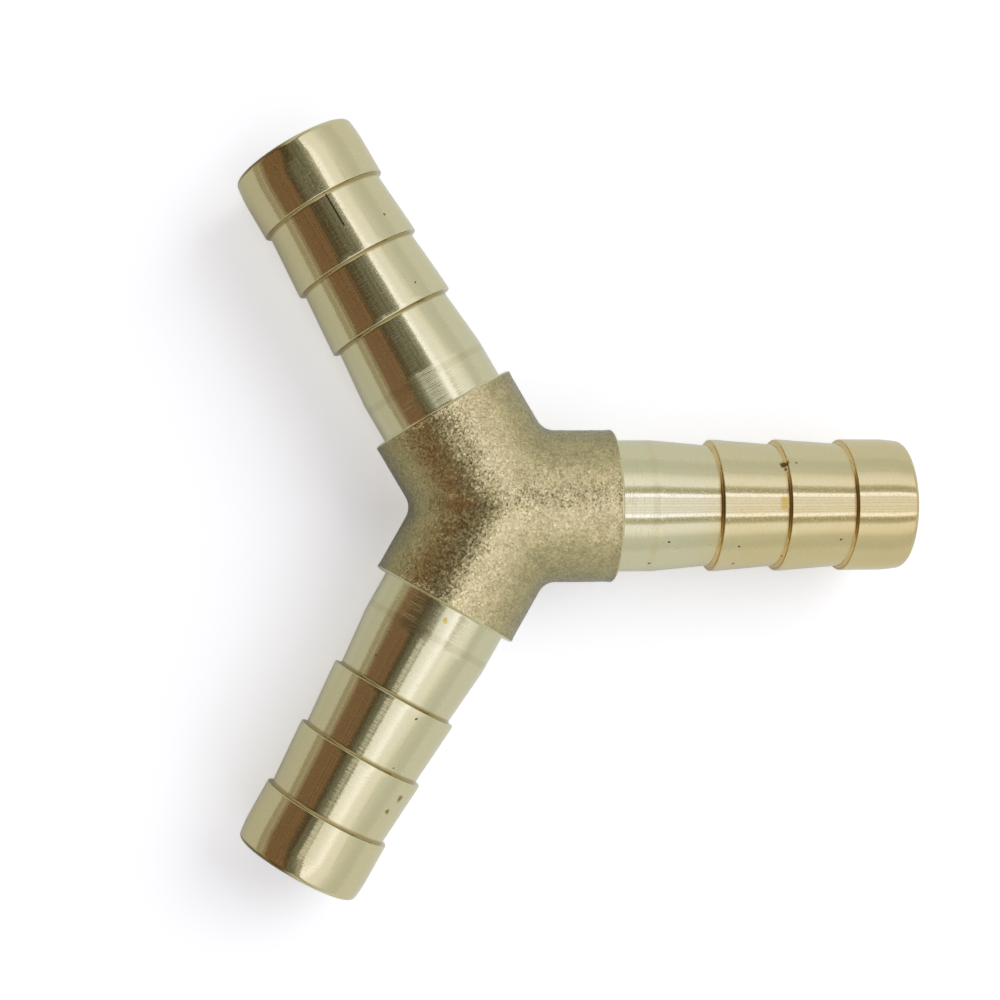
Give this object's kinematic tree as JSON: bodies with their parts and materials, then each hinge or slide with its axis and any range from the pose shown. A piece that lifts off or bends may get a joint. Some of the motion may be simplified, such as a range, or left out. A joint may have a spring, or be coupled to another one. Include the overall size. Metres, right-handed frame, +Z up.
{
  "type": "tubing y connector",
  "caption": "Equal-armed brass Y connector for flexible hose, with barbed spigots on a forged body and drilled bores that meet in the middle.",
  "frame": {"origin": "where the three bore axes meet, in the middle of the body", "axes": "+X along the first arm, towards its tip; +Z square to the plane of the arms, so the connector lies flat on its back with +Z up"},
  "size_m": [0.0627, 0.0722, 0.0144],
  "materials": {
    "brass": "turned bright on the spigots, shot-blasted matt on the body"
  },
  "bodies": {
    "root": {"y_connector": "brass"}
  },
  "joints": []
}
